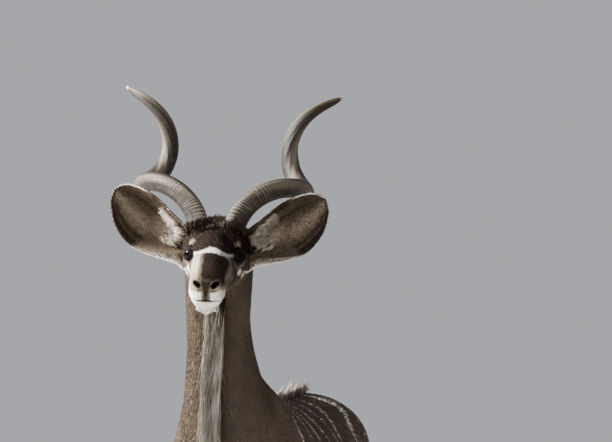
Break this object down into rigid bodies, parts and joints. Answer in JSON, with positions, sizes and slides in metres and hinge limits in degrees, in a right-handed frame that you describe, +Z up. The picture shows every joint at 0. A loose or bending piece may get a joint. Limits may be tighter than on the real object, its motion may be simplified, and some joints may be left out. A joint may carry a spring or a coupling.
{
  "type": "greater kudu bull",
  "caption": "Life-size greater kudu bull standing at rest, head raised, broad ears spread and turned forward, spiral horns.",
  "frame": {"origin": "on the ground, under the middle of the animal's bounding box", "axes": "+Z up, the animal faces -Y and its left side is towards +X"},
  "size_m": [0.6377, 1.9463, 2.1748],
  "materials": {
    "coat": "short grey-brown hair with white stripes and face marks, longer along the nape, throat and tail",
    "horn": "grey-brown horn, ridged at the base, smooth and ivory at the tip",
    "eye": "wet, very dark brown",
    "hoof": "dark horn, slightly polished by wear"
  },
  "bodies": {
    "root": {"head": "coat", "neck": "coat", "torso": "coat", "tail": "coat", "foreleg_left": "coat", "foreleg_right": "coat", "hindleg_left": "coat", "hindleg_right": "coat", "ear_left": "coat", "ear_right": "coat", "horn_left": "horn", "horn_right": "horn", "eye_left": "eye", "eye_right": "eye", "hoof_foreleg_left_outer": "hoof", "hoof_foreleg_left_inner": "hoof", "hoof_foreleg_right_outer": "hoof", "hoof_foreleg_right_inner": "hoof", "hoof_hindleg_left_outer": "hoof", "hoof_hindleg_left_inner": "hoof", "hoof_hindleg_right_outer": "hoof", "hoof_hindleg_right_inner": "hoof"}
  },
  "joints": []
}
